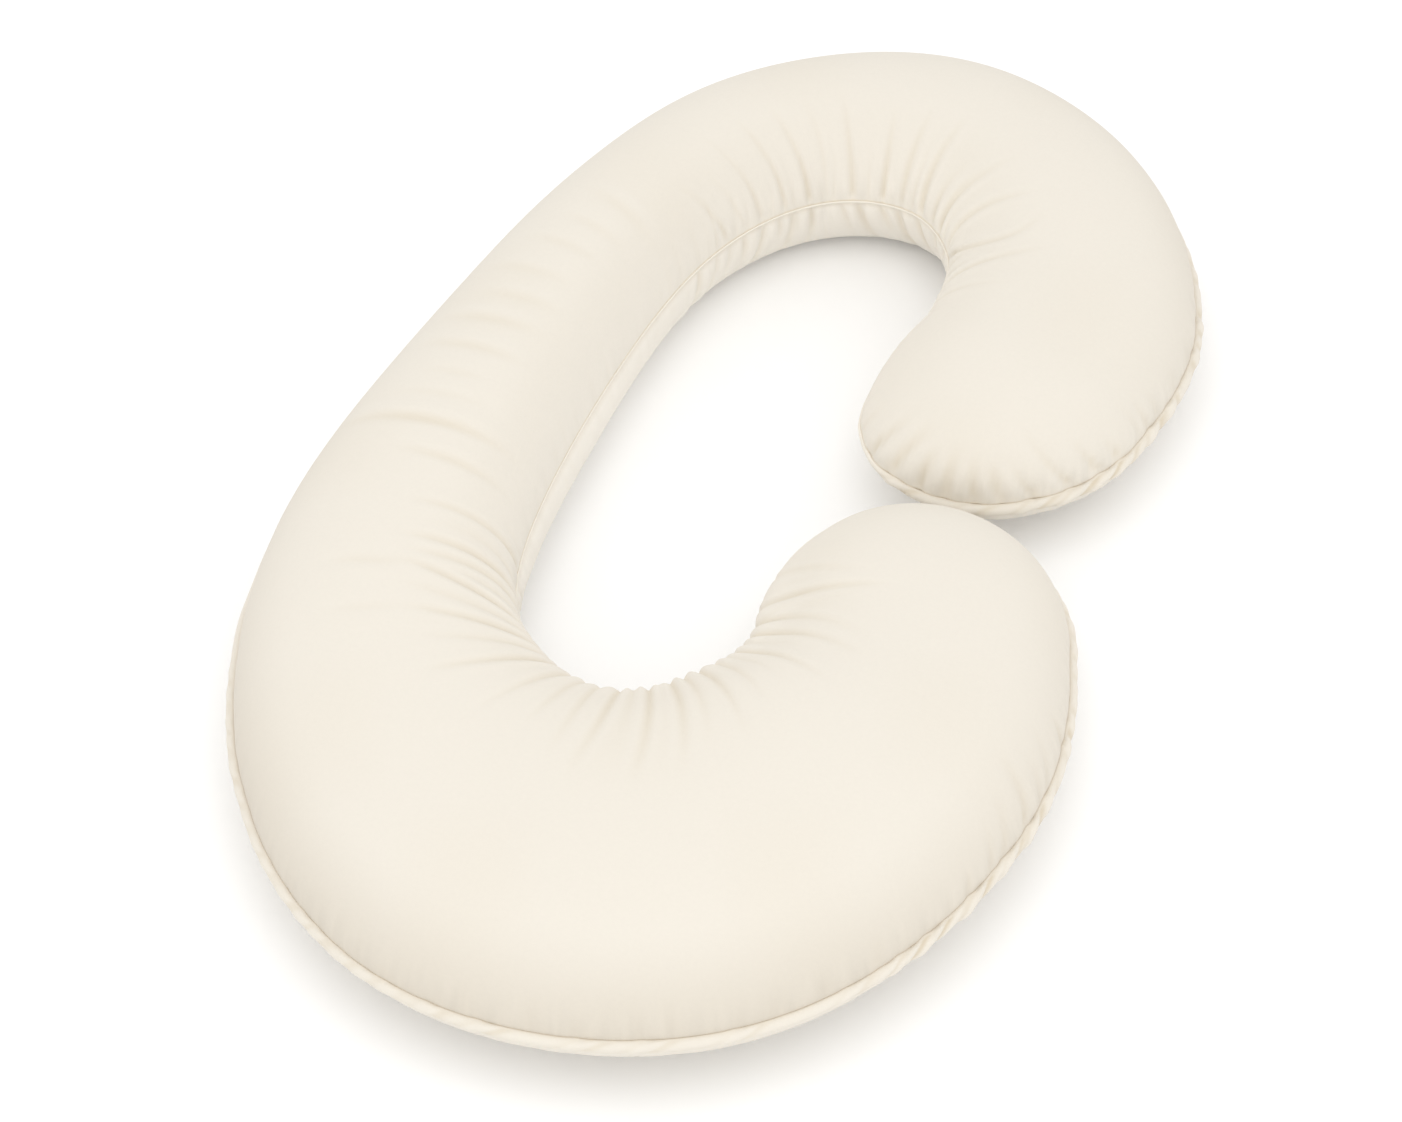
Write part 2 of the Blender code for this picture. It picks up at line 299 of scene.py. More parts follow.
ROPING = tuple(starmap(Roping, (
    (0.100, 0.330, 0.026, 0.003, 0.0009), (1.950, 2.480, 0.034, 0.005, 0.0009),
    (2.480, 2.920, 0.085, 0.011, 0.0015), (2.920, 3.230, 0.040, 0.013, 0.0006),
    (3.300, 3.560, 0.025, 0.004, 0.0009), (3.560, 3.940, 0.060, 0.004, 0.0004),
)))
ROLL_FOLDS = tuple(starmap(RollFold, (
    (2.954, 0.0024, 0.014), (2.990, 0.0026, 0.014), (3.056, 0.0028, 0.014),
    (3.116, 0.0025, 0.013), (3.164, 0.0020, 0.011), (3.205, 0.0014, 0.008),
    (3.283, 0.0020, 0.004), (5.564, 0.0020, 0.008), (5.645, 0.0014, 0.010),
    (5.714, 0.0020, 0.011), (5.762, 0.0026, 0.013), (5.801, 0.0021, 0.012),
    (5.830, 0.0018, 0.010), (0.042, 0.0024, 0.006), (0.084, 0.0016, 0.004),
    (0.126, 0.0016, 0.002), (0.166, 0.0014, 0.002), (0.212, 0.0012, 0.001),
)))

# Rows of seam length and how strong the fine puckers beside the seam are there, in their bump
# and their painted shade.
PUCKERING = (
    (0.000, 1.00), (0.300, 0.80), (0.500, 0.40), (1.900, 0.40), (2.200, 0.60), (2.900, 0.80),
    (3.300, 1.00), (3.450, 0.60), (3.900, 0.60), (4.100, 1.00), (4.350, 0.90), (4.450, 0.25),
    (4.800, 0.25), (4.950, 1.00), (5.250, 1.00), (5.450, 0.50), (5.650, 0.80), (5.846, 1.00),
)

# Rows of seam length and how deep a crease already is at the seam there, as a share of its full
# depth.
TUCKED = (
    (3.860, 0.10), (3.930, 0.60), (4.330, 0.60), (4.400, 0.10), (5.450, 0.10), (5.520, 0.35),
    (5.700, 0.35), (5.780, 0.10),
)

# Rows of seam length and how much painted shade, darker and warmer, the upper panel has beside
# the outer seam there.
RIM_SHADE = (
    (0.000, 0.20), (0.250, 0.60), (1.900, 0.60), (2.100, 1.00), (2.850, 1.00), (3.100, 0.65),
    (3.450, 0.40), (5.300, 0.40), (5.450, 0.20), (5.846, 0.20),
)

# Rows of seam length and how far the gathered cloth puffs out over the inner seam there.
PUFF = (
    (3.790, 0.0000), (3.860, 0.0050), (3.930, 0.0130), (3.990, 0.0140), (4.050, 0.0090),
    (4.150, 0.0020), (4.250, 0.0000),
)
PUFF_RISE = 0.034
PUFF_SPAN = 0.028

# Rows of seam length, the roll's size as a share of its full one, how far the seam sits out there,
# and how much less full the lower panel is.
HEAD_CORNER = (
    (5.180, 1.00, 0.0000, 0.00), (5.300, 0.30, 0.0000, 0.00), (5.360, 0.22, 0.0010, 0.05),
    (5.420, 0.22, 0.0050, 0.10), (5.480, 0.30, 0.0120, 0.20), (5.530, 0.45, 0.0090, 0.30),
    (5.570, 0.85, 0.0010, 0.33), (5.620, 1.00, -0.0050, 0.33), (5.710, 1.00, -0.0060, 0.33),
    (5.770, 1.00, -0.0015, 0.25), (5.846, 1.00, 0.0000, 0.00),
)

# Rows of seam length and how far the lower panel bellies out under the inner seam there.
BELLY = (
    (4.250, 0.0000), (4.330, 0.0090), (4.400, 0.0120), (4.600, 0.0110), (4.780, 0.0050),
    (4.900, 0.0000),
)


def spline_values(knots: np.ndarray, values: np.ndarray, at: np.ndarray) -> np.ndarray:
    """Natural cubic spline through rows of values.

    Each stretch is the straight mix of its two rows plus the cubic that the second derivatives
    give, and those solve the usual three-term rows with none at the two ends.

    Args:
        knots: Rising places of the rows.
        values: One row for each knot.
        at: Places to read.

    Returns:
        One row for each place in at.
    """
    count = len(knots)
    span = np.diff(knots)
    matrix = np.eye(count)
    slopes = np.diff(values, axis=0) / span[:, None]
    right = np.zeros_like(values)
    right[1:-1] = 6.0 * np.diff(slopes, axis=0)
    inside = np.arange(1, count - 1)
    matrix[inside, inside - 1] = span[:-1]
    matrix[inside, inside] = 2.0 * (span[:-1] + span[1:])
    matrix[inside, inside + 1] = span[1:]
    bend = np.linalg.solve(matrix, right)
    left = np.clip(np.searchsorted(knots, at, side="right") - 1, 0, count - 2)
    width = span[left][:, None]
    before = (knots[left + 1] - at)[:, None] / width
    after = (at - knots[left])[:, None] / width
    straight = before * values[left] + after * values[left + 1]
    curve = (before**3 - before) * bend[left] + (after**3 - after) * bend[left + 1]
    return straight + curve * width**2 / 6.0


def running_length(points: np.ndarray) -> np.ndarray:
    """Length along a row of points from its first, the sum of the steps between them.

    Args:
        points: One row for each point.

    Returns:
        One length for each point.
    """
    steps = np.linalg.norm(np.diff(points, axis=0), axis=1)
    return np.concatenate([[0.0], np.cumsum(steps)])


def unit(vectors: np.ndarray) -> np.ndarray:
    """The vectors in the last axis, each at length 1."""
    return vectors / np.maximum(np.linalg.norm(vectors, axis=-1, keepdims=True), 1e-12)


def smooth_step(share: np.ndarray) -> np.ndarray:
    """3 s^2 - 2 s^3 with s kept from 0 to 1."""
    kept = np.clip(share, 0.0, 1.0)
    return kept * kept * (3.0 - 2.0 * kept)


def bell(values: np.ndarray, middle: float, width: float) -> np.ndarray:
    """exp(-s^2), with s the distance from the middle in widths."""
    share = (values - middle) / width
    return np.exp(-share * share)


def read_table(
    rows: tuple[tuple[float, ...], ...], places: np.ndarray, column: int = 1
) -> np.ndarray:
    """Reads a table by straight lines between its rows, held at its first and its last row.

    Args:
        rows: Rows that start with a rising seam length.
        places: Seam lengths to read at.
        column: Column to read.

    Returns:
        One value for each place.
    """
    table = np.array(rows)
    return np.interp(places, table[:, 0], table[:, column])


def distance_from_row(rows: np.ndarray, start: int) -> np.ndarray:
    """Distance of each grid point from one row, the sum of the steps down or up its section.

    Args:
        rows: Rows by ring by 3.
        start: The row that distances are counted from.

    Returns:
        One distance for each grid point.
    """
    step = np.linalg.norm(np.diff(rows, axis=0), axis=2)
    above = np.cumsum(step[:start][::-1], axis=0)[::-1]
    below = np.cumsum(step[start:], axis=0)
    return np.concatenate([above, np.zeros((1, rows.shape[1])), below])


@dataclass
class Plan:
    """The pillow's plan: the two seam rails through the sections, and the two rounded ends."""

    head_end_length: float = 0.188
    knee_end_length: float = 0.180
    head_end_squareness: float = 2.1
    knee_end_squareness: float = 2.0
    samples: int = 4001

    def __post_init__(self) -> None:
        """Works out the knots along the middle and the fine length tables of both rails."""
        self.table = np.array(SECTIONS)
        middle = 0.5 * (self.table[:, 0:2] + self.table[:, 2:4])
        length = running_length(middle)
        self.knots = length / length[-1]
        self.fine = np.linspace(0.0, 1.0, self.samples)
        rails = self.rails(self.fine)
        self.outer_length = running_length(rails[:, 0:2])
        self.inner_length = running_length(rails[:, 2:4])

    def rails(self, places: np.ndarray) -> np.ndarray:
        """Outer x and y, inner x and y, and seam height at places from 0 to 1 along the pillow."""
        return spline_values(self.knots, self.table, places)

    def stations(self, count: int, inner_share: float) -> np.ndarray:
        """Places along the pillow, even in a mix of the two rails' lengths.

        Args:
            count: How many places.
            inner_share: Weight of the inner rail's length, from 0 to 1.

        Returns:
            Rising places from 0 to 1.
        """
        mixed = inner_share * self.inner_length + (1.0 - inner_share) * self.outer_length
        return np.interp(np.linspace(0.0, mixed[-1], count), mixed, self.fine)

    def rounded_end(self, place: float, steps: int) -> np.ndarray:
        """Points round one end, a superellipse from the outer rail to the inner rail.

        Args:
            place: 1.0 for the knee end, 0.0 for the head end.
            steps: How many spans the half turn is cut into.

        Returns:
            Plan points without the two rail points.
        """
        rails = self.rails(np.array([place]))[0]
        outer, inner = rails[0:2], rails[2:4]
        centre, half = 0.5 * (outer + inner), 0.5 * (outer - inner)
        forward = unit(np.array([-half[1], half[0]]))
        length = self.knee_end_length if place > 0.5 else -self.head_end_length
        turn = np.linspace(0.0, np.pi, steps + 1)[1:-1]
        power = 2.0 / (self.knee_end_squareness if place > 0.5 else self.head_end_squareness)
        across = np.sign(np.cos(turn)) * np.abs(np.cos(turn)) ** power
        along = np.sin(turn) ** power
        return centre + across[:, None] * half + (along * length)[:, None] * forward


@dataclass
class SeamRing:
    """The closed seam as an anticlockwise ring of points, with what the cover and the roll need.

    Outer and inner places may differ, for a ring that holds no sections.
    """

    plan: Plan
    outer_places: np.ndarray
    inner_places: np.ndarray
    end_steps: int
    roll_outer: float = 0.0065
    roll_inner: float = 0.0012
    roll_taper: float = 0.15
    clearance: float = -0.0002
    seat_angle: float = np.radians(108.0)

    def __post_init__(self) -> None:
        """Joins outer rail, knee end, inner rail backwards and head end, and measures them."""
        outer = self.plan.rails(self.outer_places)
        inner = self.plan.rails(self.inner_places)[::-1]
        knee = self.plan.rounded_end(1.0, self.end_steps)
        head = self.plan.rounded_end(0.0, self.end_steps)[::-1]
        self.points = np.concatenate([outer[:, 0:2], knee, inner[:, 2:4], head]) - PLAN_SHIFT
        knee_height = np.full(len(knee), outer[-1, 4])
        head_height = np.full(len(head), outer[0, 4])
        self.height = np.concatenate([outer[:, 4], knee_height, inner[:, 4], head_height])
        counts = [len(outer), len(knee), len(inner), len(head)]
        self.side = np.repeat([side.value for side in Side], counts)
        end_share = np.arange(1, len(knee) + 1) / (len(knee) + 1)
        inner_share = [np.zeros(len(outer)), end_share, np.ones(len(inner)), end_share[::-1]]
        self.inner_share = np.concatenate(inner_share)
        self.length = running_length(self.points)
        self.total = self.length[-1] + float(np.linalg.norm(self.points[0] - self.points[-1]))
        tangent = unit(np.roll(self.points, -1, axis=0) - np.roll(self.points, 1, axis=0))
        self.outward = np.stack([tangent[:, 1], -tangent[:, 0]], axis=1)
        self.roll_radius = self.worked_roll_radius()

    def worked_roll_radius(self) -> np.ndarray:
        """Radius of the roll: full outside and round the ends, thin along the inner curve.

        Returns:
            One radius for each point of the ring.
        """
        inner = self.side == Side.INNER.value
        along = self.length[inner]
        from_end = np.minimum(along - along[0], along[-1] - along)
        thinner = smooth_step(from_end / self.roll_taper)
        radius = np.full(len(self.length), self.roll_outer)
        radius[inner] += (self.roll_inner - self.roll_outer) * thinner
        share = read_table(HEAD_CORNER, self.length, Corner.ROLL_SHARE)
        return np.maximum(radius * share, self.roll_inner)

    def roll_centre(self) -> tuple[np.ndarray, np.ndarray]:
        """Places the roll's middle so that its seat's top edge is the seam.

        Returns:
            Plan points and heights.
        """
        seat = self.roll_radius + self.clearance
        plan = self.points - self.outward * (seat * np.cos(self.seat_angle))[:, None]
        return plan, self.height - seat * np.sin(self.seat_angle)

    def calm_outward(self, points: int) -> np.ndarray:
        """Outward directions averaged over some points, for a wide swell round a tight corner.

        Args:
            points: How many points either way.

        Returns:
            One plan direction for each point of the ring.
        """
        shifted = [np.roll(self.outward, shift, axis=0) for shift in range(-points, points + 1)]
        return unit(np.mean(shifted, axis=0))

    def distance_along(self, target: float) -> np.ndarray:
        """Signed seam length from each point to a place on the closed seam, by the shorter way."""
        half = 0.5 * self.total
        return (self.length - target + half) % self.total - half


@dataclass
class SeamWave:
    """Where the seam wavers: small notches in and up at the roll's ridges, and a slow drift."""

    seed: int = 11
    place_spread: float = 0.22
    height_range: tuple[float, float] = (0.55, 1.25)
    notch_width: float = 0.006
    notch_share: float = 0.5
    notch_in: float = 0.8
    notch_up: float = 0.7
    drift: float = 0.0009
    drift_out: float = 0.4
    drift_up: float = 0.5

    def __post_init__(self) -> None:
        """Places each ridge of the roll along its run, a little unevenly."""
        rng = np.random.default_rng(self.seed)
        self.ridges: list[RollFold] = []
        for run in ROPING:
            count = max(int(round((run.end - run.start) / run.spacing)), 1)
            spread = run.start + (np.arange(count) + 0.5) * (run.end - run.start) / count
            shift = rng.uniform(-self.place_spread, self.place_spread, count)
            spread = spread + shift * run.spacing
            heights = run.height * rng.uniform(*self.height_range, count)
            pairs = zip(spread.tolist(), heights.tolist())
            self.ridges += [RollFold(place, height, run.slant) for place, height in pairs]
        self.ridges += list(ROLL_FOLDS)

    def offsets(self, ring: SeamRing) -> tuple[np.ndarray, np.ndarray]:
        """How far the seam moves outward and up at each point: notches plus two slow sines.

        Args:
            ring: The closed seam.

        Returns:
            Outward shift and upward shift.
        """
        inward = np.zeros(len(ring.length))
        for place, height, _ in self.ridges:
            notch = bell(ring.distance_along(place), 0.0, self.notch_width)
            inward += self.notch_share * height * notch
        share = ring.roll_radius / ring.roll_outer
        turn = 2.0 * np.pi * ring.length / ring.total
        slow = sum(weight * np.sin(waves * turn + start) for weight, waves, start in DRIFT_WAVES)
        sway = read_table(HEAD_CORNER, ring.length, Corner.SEAM_SWAY)
        outward = (self.drift_out * self.drift * slow - self.notch_in * inward) * share + sway
        return outward, (self.notch_up * inward + self.drift_up * self.drift * slow) * share


def grid_normals(points: np.ndarray) -> np.ndarray:
    """Unit normals of a closed grid: the cross product of its two central differences.

    Args:
        points: Rows by ring by 3, rows running down and the ring anticlockwise.

    Returns:
        Normals that point outwards.
    """
    along = np.roll(points, -1, axis=1) - np.roll(points, 1, axis=1)
    down = np.gradient(points, axis=0)
    return unit(np.cross(down, along))


def creases_of_runs(runs: tuple[Gather, ...], rng: np.random.Generator) -> list[Crease]:
    """Small uneven creases spread along each run.

    Args:
        runs: The runs.
        rng: Source of the unevenness.

    Returns:
        One crease for each place.
    """
    creases = []
    for run in runs:
        pitch = (run.end - run.start) / run.creases
        for number in range(run.creases):
            place = number + 0.5 + rng.uniform(-UNEVENNESS.place, UNEVENNESS.place)
            place = run.start + place * pitch
            depth = run.depth * rng.uniform(*UNEVENNESS.depth)
            reach = run.reach * rng.uniform(*UNEVENNESS.reach)
            lean = run.lean + rng.uniform(-UNEVENNESS.lean, UNEVENNESS.lean)
            width = run.width * rng.uniform(*UNEVENNESS.width)
            creases.append(Crease(place, reach, depth, lean, 0.0, width))
    return creases


def relief_of_creases(
    creases: tuple[Crease, ...] | list[Crease],
    ring: SeamRing,
    away: np.ndarray,
    spread: np.ndarray,
    rng: np.random.Generator,
) -> np.ndarray:
    """Relief of creases that start at the seam and run away from it.

    Each crease deepens over the first few millimetres from the seam, and fades at its own reach
    and at the crown. Distances across are real ones, because the sections spread apart away from
    the inner seam.

    Args:
        creases: The creases.
        ring: The closed seam.
        away: Distance of each grid point from the seam, along its section.
        spread: Spacing of the sections at each grid point, as a share of that at the seam.
        rng: Source of the unevenness.

    Returns:
        Height of the relief at each grid point, below 0 in a crease.
    """
    relief = np.zeros_like(away)
    shape = CREASE_SHAPE
    tucked = read_table(TUCKED, ring.length)
    start = tucked + (1.0 - tucked) * smooth_step(away / shape.tuck_reach)
    crown = smooth_step((away.max(axis=0) - away) / shape.crown_reach)
    for crease in creases:
        skew = rng.uniform(-shape.most_skew, shape.most_skew)
        shift = crease.lean * away + crease.bow * away * away
        across = (ring.distance_along(crease.seam_length)[None, :] - shift) * spread
        share = across / (crease.width * (1.0 + shape.widening * away))
        valley = -np.exp(-np.abs(share) ** shape.valley_power)
        swell = shape.swell_share * bell(np.abs(share), shape.swell_place, shape.swell_width)
        tilt = skew * share * bell(share, 0.0, 1.0)
        left = np.clip(away / (shape.tail * crease.reach), 0.0, 1.0)
        relief += crease.depth * (valley + swell + tilt) * (1.0 - left * left) ** 2
    return relief * start * crown


def relief_of_wrinkles(plan: np.ndarray) -> np.ndarray:
    """Relief of the wrinkles across the back: valleys beside a lower swell, fading at both ends.

    Args:
        plan: Plan point of each grid point.

    Returns:
        Height of the relief at each grid point.
    """
    relief = np.zeros(plan.shape[:2])
    for wrinkle in BACK_WRINKLES:
        start = np.array([wrinkle.start_x, wrinkle.start_y])
        step = np.array([wrinkle.end_x, wrinkle.end_y]) - start
        length = float(np.linalg.norm(step))
        ahead = step / length
        side = np.array([-ahead[1], ahead[0]])
        along = np.clip(2.0 * ((plan - start) @ ahead) / length - 1.0, -1.0, 1.0)
        share = ((plan - start) @ side) / wrinkle.width
        swell = WRINKLE_SWELL * bell(share, WRINKLE_SWELL_PLACE, WRINKLE_SWELL_WIDTH)
        profile = -bell(share, 0.0, 1.0) + swell
        relief += wrinkle.depth * profile * (1.0 - along * along) ** 2
    return relief


def uneven_filling(plan: np.ndarray) -> np.ndarray:
    """Height of the filling's slow unevenness: the product of two crossed sine waves.

    Args:
        plan: Plan points.

    Returns:
        One height for each point.
    """
    height = np.full(plan.shape[:-1], FILLING_HEIGHT)
    for along_x, along_y, start in FILLING_WAVES:
        height = height * np.sin(along_x * plan[..., 0] + along_y * plan[..., 1] + start)
    return height


class Shade:
    """A node socket that ordinary arithmetic adds Math nodes to."""

    def __init__(self, maker: "Nodes", socket: bpy.types.NodeSocket) -> None:
        """Keeps the socket and the maker that adds nodes beside it."""
        self.maker = maker
        self.socket = socket

    def _math(self, operation: str, first: object, second: object) -> "Shade":
        """One Math node on two values or sockets."""
        return self.maker.add("ShaderNodeMath", {"operation": operation}, {0: first, 1: second})

    def __add__(self, other: object) -> "Shade":
        """self + other."""
        return self._math("ADD", self, other)

    def __radd__(self, other: object) -> "Shade":
        """other + self."""
        return self._math("ADD", other, self)

    def __sub__(self, other: object) -> "Shade":
        """self - other."""
        return self._math("SUBTRACT", self, other)

    def __rsub__(self, other: object) -> "Shade":
        """other - self."""
        return self._math("SUBTRACT", other, self)

    def __mul__(self, other: object) -> "Shade":
        """self * other."""
        return self._math("MULTIPLY", self, other)

    def __rmul__(self, other: object) -> "Shade":
        """other * self."""
        return self._math("MULTIPLY", other, self)

    def sine(self) -> "Shade":
        """The sine of self."""
        return self._math("SINE", self, 0.0)


class Nodes:
    """Adds nodes to one material."""

    def __init__(self, material: bpy.types.Material) -> None:
        """Clears the material's tree and keeps it."""
        material.use_nodes = True
        self.tree = material.node_tree
        self.tree.nodes.clear()

    def make(
        self, kind: str, settings: dict[str, object], inputs: dict[int | str, object]
    ) -> bpy.types.Node:
        """Makes one node. Every node of a material comes from here.

        Args:
            kind: The node's type name.
            settings: Attributes, set before the sockets.
            inputs: Values or Shades by socket name or number.

        Returns:
            The node.
        """
        node = self.tree.nodes.new(kind)
        for name, value in settings.items():
            setattr(node, name, value)
        for key, value in inputs.items():
            if isinstance(value, Shade):
                self.tree.links.new(value.socket, node.inputs[key])
            else:
                node.inputs[key].default_value = value
        return node

    def add(
        self,
        kind: str,
        settings: dict[str, object],
        inputs: dict[int | str, object],
        out: int | str = 0,
    ) -> Shade:
        """Makes one node and returns its output socket of that name or number."""
        return Shade(self, self.make(kind, settings, inputs).outputs[out])

    def attribute(self, name: str, out: str = "Fac") -> Shade:
        """Reads one of the mesh's own point attributes."""
        return self.add("ShaderNodeAttribute", {"attribute_name": name}, {}, out)

    def noise(self, place: Shade, noise: Noise) -> Shade:
        """Adds a noise texture.

        Args:
            place: Where it is read.
            noise: Its settings.

        Returns:
            A value from 0 to 1, about 0.5 in the mean.
        """
        scale, detail, roughness = noise
        inputs = {"Vector": place, "Scale": scale, "Detail": detail, "Roughness": roughness}
        return self.add("ShaderNodeTexNoise", {}, inputs)

    def tinted(self, colour: Shade, share: Shade, tone: tuple[float, float, float]) -> Shade:
        """Multiplies a colour by a tone, by a share from 0 to 1.

        Args:
            colour: The colour.
            share: How much of the tone.
            tone: The tone.

        Returns:
            The mixed colour.
        """
        settings = {"data_type": "RGBA", "blend_type": "MULTIPLY"}
        return self.add("ShaderNodeMix", settings, {0: share, 6: colour, 7: (*tone, 1.0)}, 2)

    def finish(self, shader: Shade) -> None:
        """Links the shader to the material's output."""
        self.make("ShaderNodeOutputMaterial", {}, {0: shader})


@dataclass(frozen=True)
class CottonFinish:
    """Fine matt cotton: a cream base, a faint mottle, plain weave, and painted light and shade.

    Tones multiply the base. The crease tone is warmer painted shade in creases and hollows, the rim
    tone painted shade on the steep sides over the outer seam, and the seam tone a warmer dark seam
    line with painted shade in the seat behind the roll. The hollow light tone is painted light in
    the inner hollow. Shades say how far a texture varies the base, as a share of it; the pucker's
    is painted shade over the fine puckers. Heights are those of the bump in metres.
    """

    name: str
    base: tuple[float, float, float]
    crease_shade_tone: tuple[float, float, float] = (0.93, 0.90, 0.84)
    seam_line_and_shade_tone: tuple[float, float, float] = (0.90, 0.84, 0.74)
    rim_shade_tone: tuple[float, float, float] = (0.88, 0.86, 0.83)
    hollow_light_tone: tuple[float, float, float] = (1.17, 1.19, 1.23)
    thread_pitch: float = 0.0009
    weave_shade: float = 0.006
    weave_height: float = 0.00005
    cloud: Noise = Noise(5.0, 3.0, 0.5)
    cloud_shade: float = 0.012
    mottle: Noise = Noise(240.0, 3.0, 0.6)
    mottle_shade: float = 0.040
    slub: Noise = Noise(420.0, 2.0, 0.6)
    slub_height: float = 0.00022
    pucker: Noise = Noise(0.8, 1.0, 0.5)
    pucker_pitch: float = 0.0085
    pucker_stretch: float = 0.0600
    pucker_painted_shade: float = 0.20
    pucker_height: float = 0.0034
    bump_strength: float = 0.55
    roughness: float = 0.92
    sheen: float = 0.08
    sheen_roughness: float = 0.6
    specular: float = 0.25

    def material(self) -> bpy.types.Material:
        """Builds the material.

        Returns:
            A material reading Object coordinates and the piece's painted shade, light and seam
            attributes.
        """
        material = bpy.data.materials.new(self.name)
        nodes = Nodes(material)
        place = nodes.add("ShaderNodeTexCoord", {}, {}, "Object")
        split = nodes.add("ShaderNodeSeparateXYZ", {}, {0: place})
        x, y = split, Shade(nodes, split.socket.node.outputs[1])
        turns = 2.0 * np.pi / self.thread_pitch
        weave = (x * turns).sine() * (y * turns).sine()
        cloud, mottle, slub = (
            nodes.noise(place, noise) for noise in (self.cloud, self.mottle, self.slub)
        )
        # Shares of painted shade in creases, on the rim and in the seat, with the seam line, of
        # painted light in the hollow, and the puckers' strength.
        names = ("crease", "rim_shade", "under", "seam_line_and_shade", "pucker")
        crease, rim_shade, under, seam_line_and_shade, pucker = (nodes.attribute(name) for name in names)
        pitch = (1.0 / self.pucker_pitch, 1.0 / self.pucker_pitch, 1.0 / self.pucker_stretch)
        sewn_place = {0: nodes.attribute("seam_place", "Vector"), 1: pitch}
        stretched = nodes.add("ShaderNodeVectorMath", {"operation": "MULTIPLY"}, sewn_place)
        ripple = nodes.noise(stretched, self.pucker)
        # Cloud, mottle and weave vary the cotton's own tone; the pucker ripple is painted shade and
        # light over the fine puckers.
        level = 1.0 + (cloud - 0.5) * self.cloud_shade + (mottle - 0.5) * self.mottle_shade
        level = level + weave * self.weave_shade + (ripple - 0.5) * pucker * self.pucker_painted_shade
        shaded = {0: self.base, "Scale": level}
        colour = nodes.add("ShaderNodeVectorMath", {"operation": "SCALE"}, shaded)
        shares = (crease, rim_shade, under, seam_line_and_shade)
        tones = (self.crease_shade_tone, self.rim_shade_tone, self.hollow_light_tone, self.seam_line_and_shade_tone)
        for share, tone in zip(shares, tones):
            colour = nodes.tinted(colour, share, tone)
        height = weave * self.weave_height + slub * self.slub_height
        height = height + pucker * ripple * self.pucker_height
        relief = {"Strength": self.bump_strength, "Distance": 1.0, "Height": height}
        bump = nodes.add("ShaderNodeBump", {}, relief, "Normal")
        surface = {
            "Base Color": colour,
            "Roughness": self.roughness,
            "Normal": bump,
            "Sheen Weight": self.sheen,
            "Sheen Roughness": self.sheen_roughness,
            "Specular IOR Level": self.specular,
        }
        shader = nodes.add("ShaderNodeBsdfPrincipled", {}, surface)
        nodes.finish(shader)
        return material


def mesh_object(
    name: str, points: np.ndarray, faces: np.ndarray, closing: list[tuple[int, ...]]
) -> bpy.types.Object:
    """Makes a smooth mesh object from quads and a few other faces.

    Args:
        name: The piece's name.
        points: One row for each point.
        faces: One row of four point numbers for each quad.
        closing: Other faces.

    Returns:
        The linked object, at the origin.
    """
    mesh = bpy.data.meshes.new(name)
    mesh.from_pydata(points.tolist(), [], faces.tolist() + closing)
    mesh.shade_smooth()
    mesh.update()
    piece = bpy.data.objects.new(name, mesh)
    bpy.context.scene.collection.objects.link(piece)
    return piece


def add_attribute(piece: bpy.types.Object, name: str, values: np.ndarray) -> None:
    """Stores one number, or one vector where values has rows of three, for each point of the piece.

    Args:
        piece: The piece.
        name: The attribute's name.
        values: One number or row for each point.
    """
    vector = values.ndim == 2 and values.shape[1] == 3
    kind, key = ("FLOAT_VECTOR", "vector") if vector else ("FLOAT", "value")
    layer = piece.data.attributes.new(name, kind, "POINT")
    layer.data.foreach_set(key, values.astype(np.float32).ravel())


def ring_quads(rows: int, ring: int, closed: bool) -> np.ndarray:
    """Quads of a grid closed round its ring, and over its last row where closed.

    Args:
        rows: Rows of points.
        ring: Points in a row.
        closed: Whether the last row joins the first.

    Returns:
        One row of four point numbers for each quad, facing outwards for rows that run down.
    """
    upper = np.arange(rows if closed else rows - 1)
    here = np.arange(ring)
    down, along = np.meshgrid(upper, here, indexing="ij")
    below = (down + 1) % rows
    ahead = (along + 1) % ring
    near, far = down * ring, below * ring
    corners = [near + along, far + along, far + ahead, near + ahead]
    return np.stack(corners, axis=-1).reshape(-1, 4)


